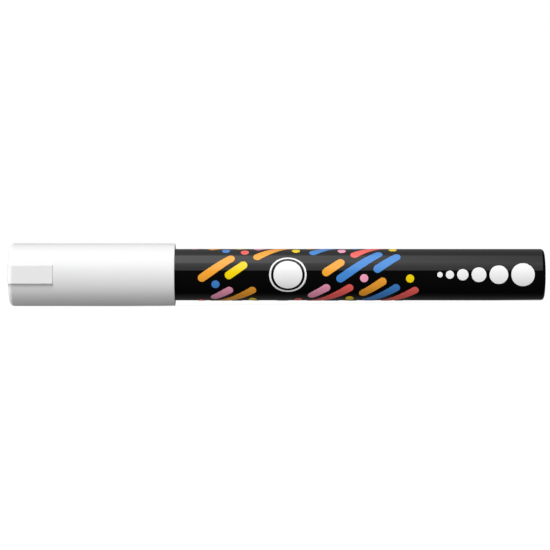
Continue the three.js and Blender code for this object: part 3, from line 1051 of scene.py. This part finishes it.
cap = finished("cap_moulding", cap_shape, white_plastic)
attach(cap, "cap")
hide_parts("cap_shell")

# Camera.
# Square on to the marker and nearly level with its axis, as the photograph is taken.
# The marker fills the frame from side to side.
shot_distance = 0.74
shot_left = 0.5 * MM
shot_low = 0.08 * MM
frame_width = 142.3 * MM
camera_data = bpy.data.cameras.new("camera")
camera_data.sensor_width = 36
camera_data.lens = camera_data.sensor_width * shot_distance / frame_width
camera = bpy.data.objects.new("camera", camera_data)
camera.location = (-shot_left, -shot_distance, -shot_low)
camera.rotation_euler = (pi / 2, 0, 0)
camera_data.clip_start = 0.01
camera_data.clip_end = 50
scene.collection.objects.link(camera)
scene.camera = camera

# Floor.
# A wide pale table top. The marker rests on the cap's rim and the barrel's rear edge, so the top
# rises towards the barrel's end by the step between the two.
cap_touch_x = cap_rim - cap_rim_round
rear_touch_x = barrel_rear - barrel_corner
floor_rise = atan2(cap_radius - barrel_radius, rear_touch_x - cap_touch_x)
floor_half = 4
floor_mesh = bmesh.new()
bmesh.ops.create_grid(floor_mesh, x_segments=1, y_segments=1, size=floor_half)
bmesh.ops.translate(floor_mesh, verts=floor_mesh.verts, vec=(-cap_touch_x, 0, 0))


def worked_out(nodes, links, operation, *values):
    """The output of a Math node. Each value is a number or another node's output."""
    node = nodes.new("ShaderNodeMath")
    node.operation = operation
    for socket, value in zip(node.inputs, values):
        if isinstance(value, bpy.types.NodeSocket):
            links.new(value, socket)
        else:
            socket.default_value = value
    return node.outputs[0]


def seen(nodes, links):
    """1 for what the eye, a reflection or clear plastic sees, and 0 for light that bounces."""
    rays = nodes.new("ShaderNodeLightPath").outputs
    direct = worked_out(nodes, links, "MAXIMUM", rays["Is Camera Ray"], rays["Is Glossy Ray"])
    return worked_out(nodes, links, "MAXIMUM", direct, rays["Is Transmission Ray"])


pale_top = bpy.data.materials.new("pale_top")
pale_top.use_nodes = True
top_nodes, top_links = pale_top.node_tree.nodes, pale_top.node_tree.links
top_shader = top_nodes["Principled BSDF"]
top_shader.inputs["Roughness"].default_value = 1.0
top_shader.inputs["Specular IOR Level"].default_value = 0.0
top_shader.inputs["Emission Color"].default_value = (1, 1, 1, 1)
top_seen = seen(top_nodes, top_links)
top_colour = top_nodes.new("ShaderNodeMix")
top_colour.data_type = "RGBA"
top_colour.inputs["A"].default_value = (0.15, 0.15, 0.15, 1)
top_colour.inputs["B"].default_value = (0.22, 0.22, 0.22, 1)
top_links.new(top_seen, top_colour.inputs["Factor"])
top_links.new(top_colour.outputs["Result"], top_shader.inputs["Base Color"])
glow_always = 0.24
glow_added = 0.60
top_glow = worked_out(
    top_nodes, top_links, "MULTIPLY_ADD", top_seen, glow_added, glow_always
)
top_links.new(top_glow, top_shader.inputs["Emission Strength"])
floor = finished("floor", floor_mesh, pale_top)
floor.location = (cap_touch_x, 0, -cap_radius)
floor.rotation_euler = (0, -floor_rise, 0)

# Studio.
# A white surround, a broad key lamp from the upper front, a lamp from the left for the cap's
# closed end, and a dark tent that only reflections see, with a long soft panel overhead.
world = bpy.data.worlds.new("studio")
scene.world = world
world.use_nodes = True
world_nodes, world_links = world.node_tree.nodes, world.node_tree.links
world_level = world_nodes.new("ShaderNodeMapRange")
world_level.inputs["To Min"].default_value = 0.40
world_level.inputs["To Max"].default_value = 1.0
world_links.new(seen(world_nodes, world_links), world_level.inputs["Value"])
world_nodes["Background"].inputs["Color"].default_value = (1, 1, 1, 1)
world_links.new(world_level.outputs["Result"], world_nodes["Background"].inputs["Strength"])

for label, energy, spread, shines_from in (
    ("key", 2.25, 35, (-0.15, -0.766, 0.643)),
    ("left_fill", 3.2, 14, (-1.0, 0.0, 0.0)),
):
    lamp_data = bpy.data.lights.new(label, "SUN")
    lamp_data.energy = energy
    lamp_data.angle = radians(spread)
    lamp = bpy.data.objects.new(label, lamp_data)
    lamp.rotation_euler = Vector(shines_from).to_track_quat("Z", "Y").to_euler()
    lamp.visible_glossy = False
    scene.collection.objects.link(lamp)

tent_radius = 0.5
tent_half = 0.26
tent_lift = 0.2 * MM
tent_margin = 1 * MM
# Below this height the tent's floor glows faintly: a painted reflection of the table top, seen only
# in reflections.
table_reflection_height = -6.0 * MM
tent_mesh = bmesh.new()
bmesh.ops.create_cone(
    tent_mesh,
    cap_ends=True,
    segments=96,
    radius1=tent_radius,
    radius2=tent_radius,
    depth=2 * tent_half,
)
bmesh.ops.rotate(
    tent_mesh, verts=tent_mesh.verts, cent=(0, 0, 0), matrix=Matrix.Rotation(pi / 2, 3, "Y")
)
bmesh.ops.bisect_plane(
    tent_mesh,
    geom=tent_mesh.verts[:] + tent_mesh.edges[:] + tent_mesh.faces[:],
    plane_co=(cap_touch_x, 0, tent_lift - cap_radius),
    plane_no=(-sin(floor_rise), 0, cos(floor_rise)),
    clear_inner=True,
)
bmesh.ops.holes_fill(tent_mesh, edges=tent_mesh.edges)
tent_cloth = bpy.data.materials.new("tent_cloth")
tent_cloth.use_nodes = True
cloth_nodes, cloth_links = tent_cloth.node_tree.nodes, tent_cloth.node_tree.links
cloth_nodes.clear()
cloth_out = cloth_nodes.new("ShaderNodeOutputMaterial")
cloth_light = cloth_nodes.new("ShaderNodeEmission")
cloth_place = cloth_nodes.new("ShaderNodeTexCoord")
cloth_parts = cloth_nodes.new("ShaderNodeSeparateXYZ")
cloth_links.new(cloth_place.outputs["Object"], cloth_parts.inputs["Vector"])
along, back, up = cloth_parts.outputs


def on_cloth(operation, *values):
    return worked_out(cloth_nodes, cloth_links, operation, *values)


# The angle round the marker, from the front (0) over the top (90) to the back (180 degrees), sets
# the panel's level: an even part, and a part that grows towards the cap.
half_turn_share = on_cloth("DIVIDE", on_cloth("ARCTAN2", up, on_cloth("MULTIPLY", back, -1)), pi)
panel = cloth_nodes.new("ShaderNodeValToRGB")
panel_full = 1.5
panel_stops = (
    (0, 0.0, 0.0),
    (18.5, 0.0, 0.0),
    (19.5, 0.88, 0.0),
    (30, 0.88, 0.0),
    (41, 1.10, 0.0),
    (51, 1.29, 0.0),
    (56.5, 0.60, 1.0),
    (90, 0.29, 1.0),
    (97, 0.24, 0.48),
    (103, 0.29, 0.22),
    (112, 0.33, 0.10),
    (140, 0.27, 0.0),
    (180, 0.15, 0.0),
)
while len(panel.color_ramp.elements) < len(panel_stops):
    panel.color_ramp.elements.new(0.5)
for stop, (degrees, even, towards_cap) in zip(panel.color_ramp.elements, panel_stops):
    stop.position = degrees / 180
    stop.color = (even / panel_full, towards_cap / panel_full, 0, 1)
cloth_links.new(half_turn_share, panel.inputs["Fac"])
levels = cloth_nodes.new("ShaderNodeSeparateColor")
cloth_links.new(panel.outputs["Color"], levels.inputs["Color"])
side = cloth_nodes.new("ShaderNodeMapRange")
side.inputs["From Min"].default_value = -0.045
side.inputs["From Max"].default_value = 0.115
side.inputs["To Min"].default_value = 1.9
side.inputs["To Max"].default_value = 0.55
cloth_links.new(along, side.inputs["Value"])
sloped = on_cloth("MULTIPLY", levels.outputs["Green"], side.outputs["Result"])
overhead = on_cloth("MULTIPLY", on_cloth("ADD", levels.outputs["Red"], sloped), panel_full)
between_ends = on_cloth("LESS_THAN", on_cloth("ABSOLUTE", along), tent_half - tent_margin)

# The tent's floor behind the marker glows faintly, seen only in reflections: a painted reflection
# of the table top along the barrel's lower edge.
glow = cloth_nodes.new("ShaderNodeMapRange")
glow.inputs["From Min"].default_value = -4.8 * MM
glow.inputs["From Max"].default_value = -2.5 * MM
glow.inputs["To Max"].default_value = 0.11
cloth_links.new(back, glow.inputs["Value"])
low_down = on_cloth("LESS_THAN", up, table_reflection_height)
table_reflection_glow = on_cloth("MULTIPLY", glow.outputs["Result"], low_down)
lit = on_cloth("ADD", on_cloth("MULTIPLY", overhead, between_ends), table_reflection_glow)
cloth_links.new(lit, cloth_light.inputs["Strength"])
cloth_links.new(cloth_light.outputs[0], cloth_out.inputs["Surface"])
tent = finished("reflection_tent", tent_mesh, tent_cloth)
tent.visible_camera = False
tent.visible_diffuse = False
tent.visible_shadow = False
tent.visible_transmission = False

scene.view_settings.view_transform = "Standard"
